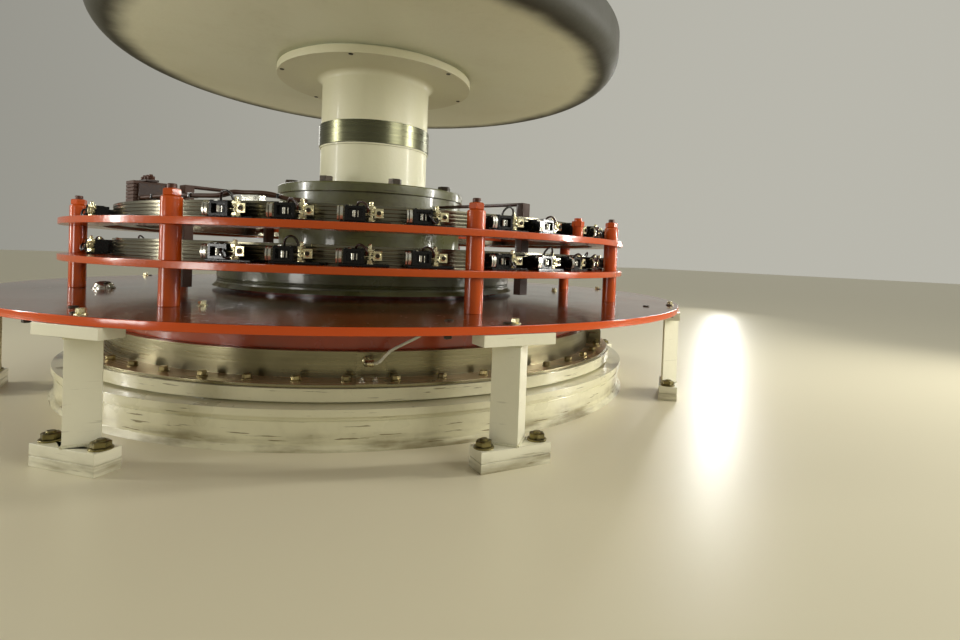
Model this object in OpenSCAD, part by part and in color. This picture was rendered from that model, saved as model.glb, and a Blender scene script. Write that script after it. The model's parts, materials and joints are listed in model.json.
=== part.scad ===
// Slip ring end of a vertical water turbine generator rotor: the rotor's end
// disc, shaft, hub and two slip rings, with the fixed brush gear, its round
// table and the sealed bearing cover that it all stands on.
// The rotor axis is Z, the floor is Z = 0, and lengths are in millimetres.

/* [Rotor] */
// Outer radius of the rotor's end disc
disc_r = 1056; // [1000:1:1150]
// Height of the end disc's rim
disc_rim_h = 140; // [125:1:180]
// Radius of the round corner under the rim
disc_corner_r = 70; // [50:1:85]
// Thickness of the end disc's plate
disc_plate_t = 36; // [28:1:45]
// Radius of the pad that the rotor body bolts to
disc_pad_r = 460; // [440:1:520]
// Height of that pad above the end disc's plate
disc_pad_h = 18; // [10:1:25]
// Number of tapped holes in the pad
pad_bolt_count = 12; // [8:1:16]
// Radius of the circle of tapped holes
pad_bolt_pcr = 330; // [310:1:340]
// Radius of a tapped hole
pad_bolt_r = 21; // [12:0.5:24]
// Solid metal left under a tapped hole
pad_bolt_floor = 24; // [15:1:30]
// Radius of the spigot between the end disc and the top flange
spigot_r = 388; // [370:1:400]
// Height of that spigot
spigot_h = 12; // [6:1:20]
// Outer radius of the shaft's top flange
flange_r = 415; // [405:1:440]
// Thickness of the shaft's top flange
flange_t = 31; // [22:1:40]
// Radius of the painted shaft
shaft_r = 230; // [210:1:260]
// Radius of the fillet between the shaft and its top flange
shaft_fillet = 24; // [10:1:40]
// How far the bare steel band stands out of the shaft
band_proud = 8; // [3:1:16]
// Length of the shaft between the hub and its top flange
shaft_h = 476; // [440:1:560]
// Height of the bare steel band's lower edge above the hub
band_up = 182; // [130:1:220]
// Width of the bare steel band
band_h = 91; // [60:1:110]

/* [Hub] */
// Radius of the hub body
hub_r = 388; // [375:1:410]
// How far the hub's top plate stands out of the hub body
hub_plate_proud = 9; // [5:1:16]
// Height of the hub above its drum
hub_h = 333; // [320:1:360]
// Thickness of the hub's top plate
hub_plate_t = 37; // [25:1:45]
// Number of coupling bolts on the hub
hub_bolt_count = 8; // [4:1:12]
// Radius of the circle of coupling bolts
hub_bolt_pcr = 345; // [310:1:350]
// Width across flats of a coupling bolt's head
hub_bolt_af = 46; // [30:1:50]
// Height of a coupling bolt's head
hub_bolt_h = 24; // [15:1:35]
// Radius of the drum under the slip rings
drum_r = 616; // [606:1:630]
// Gap between the drum and the table
drum_gap = 12; // [8:1:20]
// Height of the drum
drum_h = 82; // [60:1:90]
// How far the drum's skirt flares out at the bottom
skirt_out = 16; // [8:1:24]
// Height of the drum's skirt
skirt_h = 14; // [8:1:20]
// Number of grooves round the drum above its skirt
drum_grooves = 2; // [1:1:3]
// Width and depth of each of those grooves
drum_groove_w = 4; // [2:0.5:6]
// Radius of the barrel that runs down through the table
barrel_r = 540; // [520:1:560]
// Gap round the barrel in the table and the steel cover
throat_gap = 35; // [25:1:45]
// Height of the barrel's bottom above the guide bearing
barrel_lift = 58; // [20:1:70]
// Radius of the journal under the barrel
journal_r = 458; // [420:1:500]
// Bottom of the journal
journal_z = 25; // [15:1:60]

/* [Slip rings] */
// Outer radius of the slip rings
ring_r = 952; // [945:1:960]
// Radial depth of a slip ring
ring_depth = 62; // [50:1:75]
// Width of a slip ring
ring_w = 66; // [60:1:70]
// Rise from the lower slip ring and its brush plate to the upper pair
deck_rise = 115; // [110:1:125]
// Number of grooves round each slip ring
ring_grooves = 5; // [2:1:6]
// Depth of each groove
groove_depth = 4; // [2:0.5:8]
// Width of each groove
groove_w = 4; // [2:0.5:6]
// Number of arms that carry each slip ring
arm_count = 8; // [4:4:12]
// Width of an arm
arm_w = 60; // [44:1:70]
// Thickness of an arm
arm_t = 24; // [16:1:30]
// Number of lead bars
lead_count = 4; // [2:2:4]
// Gap between the lead bars and the slip rings' inner face
lead_out = 75; // [50:1:175]
// Width of a lead bar
lead_w = 44; // [30:1:44]
// Depth of a lead bar
lead_d = 30; // [16:1:40]
// Gap between the lead bars and the table
lead_gap = 26; // [20:1:40]
// Height of the lead bars' tops above the upper slip ring
lead_rise = 66; // [50:1:80]
// Thickness of the strap from a lead bar to the hub
lead_strap_t = 8; // [5:1:12]
// Radial length of the laminated stack on the upper slip ring
stack_l = 103; // [90:1:120]
// Width of that stack
stack_w = 64; // [50:1:80]
// Number of copper layers in that stack
stack_layers = 6; // [4:1:8]
// Slit between two of its layers
stack_slit = 1.5; // [1:0.5:3]
// Thickness of the insulated lead along the upper slip ring
strap_d = 13; // [10:1:16]
// Height of the steel block under that lead
clamp_h = 18; // [12:1:24]

/* [Brush gear] */
// Gap between a slip ring and its brush plate
plate_gap = 26; // [20:1:32]
// Width of a brush plate
plate_w = 122; // [118:1:140]
// Thickness of a brush plate
plate_t = 20; // [14:1:26]
// How far the posts stand inside a brush plate's edge
post_in = 43; // [38:1:44]
// Height of a post's sleeve between the table and the lower plate
post_low_h = 102; // [95:1:115]
// Radius of a post's sleeves
post_r = 26.5; // [20:0.5:27]
// Radius of the rod through a post
rod_r = 12; // [8:0.5:15]
// Clearance round the rod in the plates
rod_gap = 0.4; // [0.3:0.1:1]
// Height of a post's sleeve above the upper plate
post_head_h = 55; // [40:1:70]
// Width across flats of a post's nut
post_nut_af = 41; // [32:1:46]
// Height of a post's nut
post_nut_h = 21; // [14:1:26]
// Length of rod above a post's nut
rod_end_h = 12; // [6:1:20]
// Number of brush holders in each bay between two posts
holders_per_bay = 4; // [2:1:4]
// Width of a brush holder's foot
holder_w = 134; // [130:1:140]
// Width of a brush holder's box
box_w = 54; // [50:1:56]
// Radial depth of a brush holder
holder_d = 64; // [56:1:66]
// Height of a brush holder
holder_h = 48; // [42:1:52]
// Thickness of a brush holder's foot
holder_foot_t = 8; // [5:1:10]
// Thickness of a brush holder's spring clip
clip_t = 6; // [4:1:8]
// Radius of a brush holder's stud
stud_r = 7; // [5:0.5:8]
// Width across flats of the nuts on that stud
stud_nut_af = 22; // [18:1:24]
// Height of those nuts
stud_nut_h = 10; // [6:1:12]
// Width of the upright lug beside that stud
lug_w = 22; // [16:1:24]
// Thickness of that lug
lug_t = 5; // [3:1:7]
// Gap between a brush holder and its slip ring
holder_gap = 10; // [8:1:14]
// Width of a brush
brush_w = 32; // [20:1:40]
// Height of a brush
brush_h = 20; // [14:1:24]
// Length of a brush
brush_l = 61; // [50:1:66]
// Clearance of a brush in its holder
brush_gap = 0.3; // [0.2:0.1:0.5]
// Gap between a brush and the slip ring
contact_gap = 0.3; // [0.2:0.1:0.5]

/* [Table] */
// Outer radius of the round table
table_r = 1322; // [1310:1:1360]
// Thickness of the table
table_t = 21; // [15:1:26]
// How far the table's collar stands inside the steel cover's wall
collar_in = 22; // [14:1:34]
// Wall of the table's collar
collar_wall = 20; // [12:1:30]
// Height of the table's collar
collar_h = 94; // [80:1:110]
// How far a leg's face stands out past the table's edge
leg_out = 4; // [0:1:10]
// Radial depth of a leg's foot and top block
leg_d = 65; // [60:1:80]
// Width of a leg's top block
leg_top_w = 200; // [150:1:220]
// Thickness of a leg's top block
leg_top_t = 28; // [20:1:40]
// Width of each side of a leg's angle bar
angle_w = 72; // [60:1:80]
// Thickness of the angle bar
angle_t = 8; // [6:1:12]
// How far the angle bar's corner stays inside the leg's face
angle_in = 1; // [0.5:0.5:3]
// Width of a leg's foot
foot_w = 194; // [185:1:220]
// Thickness of the foot's lower plate
foot_low_t = 24; // [18:1:30]
// Thickness of the foot's upper plate
foot_high_t = 25; // [18:1:30]
// Height and depth of the gap between the two plates
foot_gap = 3; // [2:0.5:5]
// Distance between a foot's two bolt holes
foot_bolt_span = 150; // [145:1:154]
// Radius of a foot's bolt hole
foot_bolt_r = 13; // [9:0.5:14]

/* [Bearing cover] */
// How far the base's wall stands outside the seal ring
base_step = 41; // [30:1:50]
// How far the base's lip stands out of its wall
base_lip_proud = 8; // [4:1:16]
// Height of the base
base_h = 107; // [95:1:115]
// Thickness of the base's lip
base_lip_t = 20; // [14:1:30]
// Drop from the lip to the scribed line round the wall
base_line_drop = 10; // [6:1:16]
// Height and depth of that line
base_line = 3; // [2:0.5:5]
// Width and height of the weld bead at the floor
base_bead = 14; // [8:1:18]
// How far the steel cover's flange stays inside the seal ring's edge
seal_edge = 8; // [4:1:14]
// Height of the seal ring with the groove under it
seal_h = 41; // [34:1:46]
// Height of the groove under the seal ring
seal_groove_h = 6; // [3:1:10]
// Depth of that groove
seal_groove_d = 20; // [10:1:30]
// Outer radius of the steel cover
cover_r = 968; // [958:1:975]
// Height of the steel cover above the seal ring
cover_h = 83; // [76:1:90]
// Width of the steel cover's foot flange
cover_flange_w = 83; // [78:1:95]
// Thickness of that flange
cover_flange_t = 9; // [6:1:14]
// Thickness of each upright flange at the cover's joints
joint_t = 15; // [10:1:20]
// How far those upright flanges stand out of the cover
joint_out = 58; // [50:1:66]
// Number of bolts in that pair of flanges
joint_bolts = 2; // [1:1:2]
// Number of bolts in the foot flange
seal_bolt_count = 48; // [24:4:52]
// Width across flats of those bolts
seal_bolt_af = 24; // [16:1:28]
// Height of those bolts' heads
seal_bolt_h = 15; // [10:1:20]
// Width of the sensor's bracket
bracket_w = 80; // [70:1:90]
// Thickness of the bracket's plate
bracket_t = 5; // [3:1:8]
// Diameter of the sensor's hose
hose_d = 8; // [6:0.5:10]
// Radial wall of the guide bearing
bearing_wall = 150; // [120:1:170]
// How far the guide bearing's top stays below the seal ring's top
bearing_drop = 6; // [3:1:12]
// Radial clearance round the journal in its bearing
journal_gap = 0.3; // [0.2:0.05:0.5]

/* [Hidden] */
$fn = 96;
SECTORS = 8;

sector = 360 / SECTORS;

// Heights, from the floor up.
seal_top = base_h + seal_h;
bearing_top = seal_top - bearing_drop;
barrel_z = bearing_top + barrel_lift;
cover_top = seal_top + cover_h;
flange_seat = seal_top + cover_flange_t;
table_z = cover_top + collar_h;
table_top = table_z + table_t;
drum_z = table_top + drum_gap;
drum_top = drum_z + drum_h;
hub_top_z = drum_top + hub_h;
flange_z = hub_top_z + shaft_h;
flange_top = flange_z + flange_t;
disc_z = flange_top + spigot_h;
band_z = hub_top_z + band_up;
plate_low_z = table_top + post_low_h;
plate_high_z = plate_low_z + deck_rise;
post_top = plate_high_z + plate_t + post_head_h;
ring_low_z = plate_low_z + plate_t + (holder_h - ring_w) / 2;
ring_high_z = ring_low_z + deck_rise;
ring_top = ring_high_z + ring_w;
lead_top_z = ring_top + lead_rise;

// Radii, from the axis out.
bearing_r = journal_r + bearing_wall;
throat_r = barrel_r + throat_gap;
ring_inner_r = ring_r - ring_depth;
lead_pcr = ring_inner_r - lead_out - lead_d / 2;
plate_inner_r = ring_r + plate_gap;
plate_r = plate_inner_r + plate_w;
post_pcr = plate_r - post_in;
collar_r = cover_r - collar_in;
cover_flange_r = cover_r + cover_flange_w;
seal_r = cover_flange_r + seal_edge;
base_r = seal_r + base_step;
leg_pcr = table_r + leg_out - leg_d / 2;
seal_pitch = 360 / seal_bolt_count;

// One bay has a single brush holder, beside its first post.
bare_bay = 6;
holder_pitch = 10.2;
first_holder = 8;
holder_angles = [for (b = [0:SECTORS - 1], k = [0:holders_per_bay - 1])
    if (b != bare_bay || k == 0) b * sector + first_holder + k * holder_pitch];

// Colours of the finishes.
cream = [0.86, 0.85, 0.74];
steel = [0.62, 0.62, 0.58];
hub_green = [0.36, 0.37, 0.27];
orange_red = [0.78, 0.2, 0.06];
dark_red = [0.45, 0.14, 0.07];
black = [0.08, 0.08, 0.09];
brass = [0.72, 0.6, 0.3];

// Stands children at a radius, on the bearing angle a, where angle 0 is towards -Y.
module at(a, r, z = 0) {
    rotate([0, 0, a]) translate([0, -r, z]) children();
}

// A plain ring from its two radii, its underside and its height.
module ring(outer, inner, z, h) {
    translate([0, 0, z]) difference() {
        cylinder(r = outer, h = h);
        translate([0, 0, -1]) cylinder(r = inner, h = h + 2);
    }
}

// A hexagon prism by its width across flats.
module hex(af, h) {
    cylinder(r = af / 2 / cos(30), h = h, $fn = 6);
}

// A dished disc with a round corner under its rim, a spigot below and a bolting pad above.
module rotor_disc() {
    corner_x = disc_r - disc_corner_r;
    corner_z = disc_z + disc_corner_r;
    pad_top = disc_z + disc_plate_t + disc_pad_h;
    hole_z = flange_top + pad_bolt_floor;
    color(cream) difference() {
        union() {
            rotate_extrude() difference() {
                union() {
                    translate([0, disc_z]) square([corner_x, disc_rim_h]);
                    translate([0, corner_z]) square([disc_r, disc_rim_h - disc_corner_r]);
                    intersection() {
                        translate([corner_x, corner_z]) circle(r = disc_corner_r);
                        translate([0, disc_z]) square([disc_r, disc_rim_h]);
                    }
                }
                translate([-1, disc_z + disc_plate_t])
                    square([corner_x - disc_plate_t / 2 + 1, disc_rim_h]);
                translate([-1, corner_z]) square([disc_r - disc_plate_t + 1, disc_rim_h]);
            }
            translate([0, 0, flange_top]) cylinder(r = spigot_r, h = spigot_h);
            translate([0, 0, disc_z + disc_plate_t]) cylinder(r = disc_pad_r, h = disc_pad_h);
        }
        for (i = [0:pad_bolt_count - 1])
            at(i * 360 / pad_bolt_count, pad_bolt_pcr, hole_z)
                cylinder(r = pad_bolt_r, h = pad_top - hole_z + 1);
    }
}

module shaft_flange() {
    color(cream) translate([0, 0, flange_z]) cylinder(r = flange_r, h = flange_t);
}

// The shaft flares into its top flange, and a recess takes the bare steel band.
module shaft() {
    color(cream) rotate_extrude() difference() {
        union() {
            translate([0, hub_top_z]) square([shaft_r, flange_z - hub_top_z]);
            translate([0, flange_z - shaft_fillet]) square([shaft_r + shaft_fillet, shaft_fillet]);
        }
        translate([shaft_r + shaft_fillet, flange_z - shaft_fillet]) circle(r = shaft_fillet);
        translate([shaft_r - band_proud, band_z]) square([band_proud + 1, band_h]);
    }
}

module shaft_band() {
    color(steel) ring(shaft_r + band_proud, shaft_r - band_proud, band_z, band_h);
}

// The hub has a top plate with a small chamfer.
module hub() {
    plate = hub_r + hub_plate_proud;
    chamfer = 4;
    color(hub_green) rotate_extrude() polygon([
        [0, drum_top], [hub_r, drum_top], [hub_r, hub_top_z - hub_plate_t],
        [plate, hub_top_z - hub_plate_t], [plate, hub_top_z - chamfer],
        [plate - chamfer, hub_top_z], [0, hub_top_z]]);
}

module hub_bolts() {
    color(black) for (i = [0:hub_bolt_count - 1])
        at(i * 360 / hub_bolt_count - 2, hub_bolt_pcr, hub_top_z) hex(hub_bolt_af, hub_bolt_h);
}

// The drum has grooves and a skirt that flares out over the table.
module ring_drum() {
    first_groove = drum_z + skirt_h + 2 * drum_groove_w;
    color(hub_green) rotate_extrude() difference() {
        polygon([[0, drum_z], [drum_r + skirt_out, drum_z], [drum_r, drum_z + skirt_h],
                 [drum_r, drum_top], [0, drum_top]]);
        for (i = [0:drum_grooves - 1])
            translate([drum_r - drum_groove_w, first_groove + 2 * i * drum_groove_w])
                square([drum_groove_w + 1, drum_groove_w]);
    }
}

module barrel() {
    color(dark_red) union() {
        translate([0, 0, barrel_z]) cylinder(r = barrel_r, h = drum_z - barrel_z);
        translate([0, 0, journal_z]) cylinder(r = journal_r, h = barrel_z - journal_z);
    }
}

// A slip ring with its grooves cut all round.
module slip_ring(z) {
    groove_pitch = ring_w / (ring_grooves + 1);
    color(steel) rotate_extrude() translate([0, z]) difference() {
        translate([ring_inner_r, 0]) square([ring_depth, ring_w]);
        for (i = [1:ring_grooves])
            translate([ring_r - groove_depth, i * groove_pitch - groove_w / 2])
                square([groove_depth + 1, groove_w]);
    }
}
module slip_ring_upper() slip_ring(ring_high_z);
module slip_ring_lower() slip_ring(ring_low_z);

// Flat arms from the hub out to the inside of a slip ring.
module ring_arms(z) {
    color(dark_red) for (i = [0:arm_count - 1])
        rotate([0, 0, (i + 0.5) * 360 / arm_count]) difference() {
            translate([-arm_w / 2, -ring_inner_r - 1, z + (ring_w - arm_t) / 2])
                cube([arm_w, ring_inner_r + 1, arm_t]);
            translate([0, 0, z]) cylinder(r = hub_r, h = ring_w);
            ring(ring_r, ring_inner_r, z, ring_w);
        }
}
module ring_arms_upper() ring_arms(ring_high_z);
module ring_arms_lower() ring_arms(ring_low_z);

// Insulated bars that stand against the arms' sides, each with a strap to the hub.
module lead_bars() {
    bar_z = table_top + lead_gap;
    color(dark_red) for (i = [0:lead_count - 1])
        rotate([0, 0, (floor(i * arm_count / lead_count) + 0.5) * 360 / arm_count])
            translate([arm_w / 2, 0, 0]) difference() {
                union() {
                    translate([0, -lead_pcr - lead_d / 2, bar_z])
                        cube([lead_w, lead_d, lead_top_z - bar_z]);
                    translate([0, -lead_pcr - lead_d / 2, lead_top_z - lead_strap_t])
                        cube([lead_w, lead_pcr + lead_d / 2, lead_strap_t]);
                }
                translate([-arm_w / 2, 0, drum_top]) cylinder(r = hub_r, h = hub_top_z - drum_top);
            }
}

// A stack of copper layers on the upper slip ring, over one of its arms.
stack_angle = -1.5 * sector;
stack_edge = 4;
module lead_stack() {
    layer_t = (lead_rise - (stack_layers - 1) * stack_slit) / stack_layers;
    core = 2 * stack_edge;
    color(dark_red) at(stack_angle, ring_r - stack_edge, ring_top) union() {
        for (i = [0:stack_layers - 1])
            translate([-stack_w / 2, 0, i * (layer_t + stack_slit)]) cube([stack_w, stack_l, layer_t]);
        translate([(core - stack_w) / 2, stack_edge, 0])
            cube([stack_w - core, stack_l - core, lead_rise]);
    }
}

// A smooth line through points, with n steps between two of them.
function curve_point(a, b, c, d, t) =
    (2 * b + (c - a) * t + (2 * a - 5 * b + 4 * c - d) * t * t + (3 * b - a - 3 * c + d) * t * t * t) / 2;
function curve(p, n) = concat(
    [for (i = [0:len(p) - 2], k = [0:n - 1])
        curve_point(p[max(i - 1, 0)], p[i], p[i + 1], p[min(i + 2, len(p) - 1)], k / n)],
    [p[len(p) - 1]]);
function unit(v) = v / norm(v);

// A tube of eight sides along points, which never runs straight up.
module tube(p, d) {
    sides = 8;
    last = len(p) - 1;
    radius = d / 2 / cos(180 / sides);
    rings = [for (i = [0:last])
        let (ahead = unit(p[min(i + 1, last)] - p[max(i - 1, 0)]),
             side = unit(cross(ahead, [0, 0, 1])),
             up = cross(side, ahead))
        [for (k = [0:sides - 1])
            p[i] + radius * (cos((k + 0.5) * 360 / sides) * side + sin((k + 0.5) * 360 / sides) * up)]];
    polyhedron(points = [for (r = rings) each r], faces = concat(
        [[for (k = [sides - 1:-1:0]) k]],
        [for (i = [0:last - 1], k = [0:sides - 1])
            [i * sides + k, i * sides + (k + 1) % sides, (i + 1) * sides + (k + 1) % sides, (i + 1) * sides + k]],
        [[for (k = [0:sides - 1]) last * sides + k]]), convexity = 6);
}

// A point at a bearing angle, a radius and a height.
function bearing_point(a, r, z) = [r * sin(a), -r * cos(a), z];
// The same, moved sideways by x to stay square to the bearing angle.
function square_point(a, x, r, z) = [r * sin(a) + x * cos(a), x * sin(a) - r * cos(a), z];

// The insulated lead from the stack along the slip ring, over a steel block and down to the ring.
strap_gap = 0.3;
strap_r = ring_r - ring_depth / 2;
strap_low = ring_top + strap_d / 2 + strap_gap;
strap_high = strap_low + clamp_h;
strap_start = ring_top + strap_d;
clamp_angle = -36.6;
clamp_w = 52;
clamp_d = 34;
module lead_strap() {
    route = [
        square_point(stack_angle, stack_w / 2 + strap_gap, strap_r, strap_start),
        square_point(stack_angle, stack_w / 2 + 2 * strap_d, strap_r, strap_start),
        bearing_point(-58, strap_r, strap_start + 2), bearing_point(-52, strap_r, strap_start + 3),
        bearing_point(-47, strap_r, strap_start + 2), bearing_point(-43.5, strap_r, strap_high - 9),
        bearing_point(-40.5, strap_r, strap_high + 1), bearing_point(-38.2, strap_r, strap_high),
        bearing_point(-35, strap_r, strap_high), bearing_point(-32.8, strap_r, strap_high - 4),
        bearing_point(-30.6, strap_r, strap_low + 4), bearing_point(-28.8, strap_r, strap_low),
        bearing_point(-27.2, strap_r, strap_low)];
    color(dark_red) {
        tube(curve(route, 3), strap_d);
        at(clamp_angle, strap_r, ring_top)
            translate([-clamp_w / 2, -clamp_d / 2, 0]) cube([clamp_w, clamp_d, clamp_h]);
    }
}

module brush_plate(z) {
    color(orange_red) difference() {
        ring(plate_r, plate_inner_r, z, plate_t);
        for (i = [0:SECTORS - 1])
            at(i * sector, post_pcr, z - 1) cylinder(r = rod_r + rod_gap, h = plate_t + 2, $fn = 32);
    }
}
module brush_plate_upper() brush_plate(plate_high_z);
module brush_plate_lower() brush_plate(plate_low_z);

// A holder has a foot, a spring clip, a box with a slot for its brush, and a stud with two nuts
// and a lug for the brush's lead.
holder_front = ring_r + holder_gap;
foot_in = 4;
box_x = box_w / 2 + 2 * clip_t - holder_w / 2;
stud_x = box_x + box_w / 2 + stud_nut_af / 2 + foot_in;
stud_y = holder_d / 4;
stud_h = holder_h + stud_nut_h;
brush_z = (holder_h - brush_h) / 2;
module brush_holders(z) {
    color(black) for (a = holder_angles)
        at(a, holder_front + holder_d, z + plate_t) difference() {
            union() {
                translate([-holder_w / 2, foot_in, 0])
                    cube([holder_w, holder_d - 2 * foot_in, holder_foot_t]);
                translate([-holder_w / 2, foot_in, 0]) cube([clip_t, holder_d - 2 * foot_in, holder_h]);
                translate([box_x - box_w / 2, 0, 0]) cube([box_w, holder_d, holder_h]);
                translate([stud_x, stud_y, 0]) cylinder(r = stud_r, h = stud_h, $fn = 32);
                translate([stud_x, stud_y, 0]) hex(stud_nut_af, holder_foot_t + stud_nut_h);
                translate([stud_x, stud_y, holder_h - 2 * foot_in]) hex(stud_nut_af, stud_nut_h);
                translate([stud_x, stud_y - lug_t / 2, holder_foot_t + stud_nut_h])
                    cube([stud_nut_af / 2 + lug_w, lug_t, lug_w + foot_in]);
            }
            translate([box_x - brush_w / 2 - brush_gap, -1, brush_z - brush_gap])
                cube([brush_w + 2 * brush_gap, holder_d + 2, brush_h + 2 * brush_gap]);
        }
}
module brush_holders_upper() brush_holders(plate_high_z);
module brush_holders_lower() brush_holders(plate_low_z);

module brushes(z) {
    color(black) for (a = holder_angles)
        at(a, ring_r + contact_gap + brush_l, z + plate_t + brush_z)
            translate([box_x - brush_w / 2, 0, 0]) cube([brush_w, brush_l, brush_h]);
}
module brushes_upper() brushes(plate_high_z);
module brushes_lower() brushes(plate_low_z);

module table() {
    color(orange_red) ring(table_r, throat_r, table_z, table_t);
}
module table_collar() {
    color(dark_red) ring(collar_r, collar_r - collar_wall, cover_top, collar_h);
}

// A rod with sleeves that space the two plates, and a nut on top.
module post(i) {
    rod_h = post_top + post_nut_h + rod_end_h - table_top;
    color(orange_red) at(i * sector, post_pcr) union() {
        translate([0, 0, table_top]) cylinder(r = post_r, h = post_low_h, $fn = 48);
        translate([0, 0, plate_low_z + plate_t])
            cylinder(r = post_r, h = deck_rise - plate_t, $fn = 48);
        translate([0, 0, plate_high_z + plate_t]) cylinder(r = post_r, h = post_head_h, $fn = 48);
        translate([0, 0, table_top]) cylinder(r = rod_r, h = rod_h, $fn = 32);
        translate([0, 0, post_top]) hex(post_nut_af, post_nut_h);
    }
}

// A leg is an angle bar with its corner outwards, between a top block and a foot of two plates.
module leg(i) {
    block_z = table_z - leg_top_t;
    foot_h = foot_low_t + foot_gap + foot_high_t;
    color(cream) at(i * sector, leg_pcr) difference() {
        union() {
            plate(leg_top_w, leg_d, block_z, leg_top_t);
            translate([0, angle_in - leg_d / 2, foot_h]) rotate([0, 0, 45])
                linear_extrude(block_z - foot_h) difference() {
                    square(angle_w);
                    translate([angle_t, angle_t]) square(angle_w);
                }
            plate(foot_w, leg_d, foot_low_t + foot_gap, foot_high_t);
            plate(foot_w - 2 * foot_gap, leg_d - 2 * foot_gap, foot_low_t, foot_gap);
            plate(foot_w, leg_d, 0, foot_low_t);
        }
        for (side = [-1, 1]) translate([side * foot_bolt_span / 2, 0, -1])
            cylinder(r = foot_bolt_r, h = foot_h + 2, $fn = 32);
    }
}

// A flat plate with its middle on the leg's centre line.
module plate(w, d, z, t) {
    translate([-w / 2, -d / 2, z]) cube([w, d, t]);
}

// The base has a lip at the top, a line scribed under it and a weld bead at the floor.
module base_ring() {
    lip_z = base_h - base_lip_t;
    line_z = lip_z - base_line_drop - base_line;
    color(cream) rotate_extrude() polygon([
        [bearing_r, 0], [base_r + base_bead, 0], [base_r, base_bead],
        [base_r, line_z], [base_r - base_line, line_z],
        [base_r - base_line, line_z + base_line], [base_r, line_z + base_line],
        [base_r, lip_z], [base_r + base_lip_proud, lip_z],
        [base_r + base_lip_proud, base_h], [bearing_r, base_h]]);
}

module seal_ring() {
    color(cream) union() {
        ring(seal_r - seal_groove_d, bearing_r, base_h, seal_h);
        ring(seal_r, bearing_r, base_h + seal_groove_h, seal_h - seal_groove_h);
    }
}

module steel_cover() {
    color(steel) union() {
        ring(cover_r, throat_r, seal_top, cover_h);
        ring(cover_flange_r, throat_r, seal_top, cover_flange_t);
    }
}

// The upright flanges with rounded corners where the two halves of the cover are bolted together.
joint_slot = 7;
module cover_joints() {
    joint_h = cover_top - flange_seat;
    round_r = joint_h / 3;
    overlap = 10;
    color(steel) for (a = [joint_slot * seal_pitch, joint_slot * seal_pitch + 180])
        rotate([0, 0, a]) difference() {
            union() {
                translate([joint_t, 0, flange_seat]) rotate([90, 0, -90]) linear_extrude(2 * joint_t)
                    translate([cover_r - overlap, 0]) union() {
                        square([joint_out + overlap - round_r, joint_h]);
                        square([joint_out + overlap, joint_h - round_r]);
                        translate([joint_out + overlap - round_r, joint_h - round_r]) circle(r = round_r);
                    }
                for (i = [1:joint_bolts])
                    translate([-joint_t - seal_bolt_h, -cover_r - joint_out * i / (joint_bolts + 1),
                               flange_seat + joint_h / 2])
                        rotate([0, 90, 0]) hex(seal_bolt_af, 2 * joint_t + 2 * seal_bolt_h);
            }
            translate([0, 0, seal_top]) cylinder(r = cover_r, h = cover_h + 1);
        }
}

module seal_bolts() {
    color(brass) for (i = [0:seal_bolt_count - 1])
        at((i + 0.5) * seal_pitch, (cover_flange_r + cover_r) / 2, flange_seat)
            hex(seal_bolt_af, seal_bolt_h);
}

module guide_bearing() {
    color(brass) ring(bearing_r, journal_r + journal_gap, 0, bearing_top);
}

// An angle plate on the cover's flange, with an elbow for the sensor's hose, and the gland under
// the table where the hose ends.
sensor_angle = -2 * seal_pitch;
gland_angle = -4.5;
elbow_x = -14;
elbow_r = cover_r + 62;
elbow_z = flange_seat + 52;
elbow_l = 19;
gland_r = cover_r + 92;
gland_w = 24;
module sensor_bracket() {
    bracket_gap = 8;
    bracket_h = cover_h - cover_flange_t;
    bracket_l = cover_flange_w + 2 * seal_edge - bracket_gap;
    color(steel) {
        at(sensor_angle, cover_r + bracket_gap + bracket_l, flange_seat) union() {
            translate([-bracket_w / 2, 0, 0]) cube([bracket_w, bracket_l, bracket_t]);
            translate([-bracket_w / 2, bracket_l - bracket_t, 0]) cube([bracket_w, bracket_t, bracket_h]);
        }
        at(sensor_angle, 0, elbow_z) union() {
            translate([elbow_x, -elbow_r, 0]) rotate([-90, 0, 0])
                cylinder(r = hose_d, h = elbow_r - cover_r - bracket_gap - bracket_t, $fn = 32);
            translate([elbow_x, -elbow_r, 0]) sphere(r = hose_d, $fn = 32);
            translate([elbow_x, -elbow_r, 0]) rotate([0, 90, 0])
                cylinder(r = hose_d * 0.8, h = elbow_l, $fn = 32);
        }
        at(gland_angle, gland_r, table_z)
            translate([-gland_w / 2, -gland_w / 2, -gland_w]) cube(gland_w);
    }
}

// The hose leaves the elbow sideways, climbs and goes into the gland's side.
hose_gap = 0.2;
module sensor_hose() {
    gland_z = table_z - gland_w / 2;
    route = [
        square_point(sensor_angle, elbow_x + elbow_l + hose_gap, elbow_r, elbow_z),
        square_point(sensor_angle, elbow_x + elbow_l + 2 * hose_d, elbow_r, elbow_z + 5),
        bearing_point(-12.4, elbow_r + 4, elbow_z + 33), bearing_point(-10.4, elbow_r + 10, elbow_z + 54),
        bearing_point(-8.4, elbow_r + 18, elbow_z + 74),
        square_point(gland_angle, -gland_w / 2 - 3 * hose_d, gland_r, gland_z - 4),
        square_point(gland_angle, -gland_w / 2 - hose_gap, gland_r, gland_z)];
    color([0.85, 0.85, 0.8]) tube(curve(route, 3), hose_d);
}

// A stud with a sleeve, a nut and a dome that clamps a cable lug to the upper plate.
terminal_angle = first_holder + 1.5 * holder_pitch;
module terminal_post() {
    sleeve_r = 17;
    sleeve_h = 34;
    nut_af = 36;
    nut_h = 18;
    dome_r = 13;
    dome_h = 10;
    color(orange_red) at(terminal_angle, post_pcr, plate_high_z + plate_t) union() {
        cylinder(r = sleeve_r, h = sleeve_h, $fn = 48);
        translate([0, 0, sleeve_h]) hex(nut_af, nut_h);
        translate([0, 0, sleeve_h + nut_h]) cylinder(r = dome_r, h = dome_h, $fn = 48);
    }
}

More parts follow.
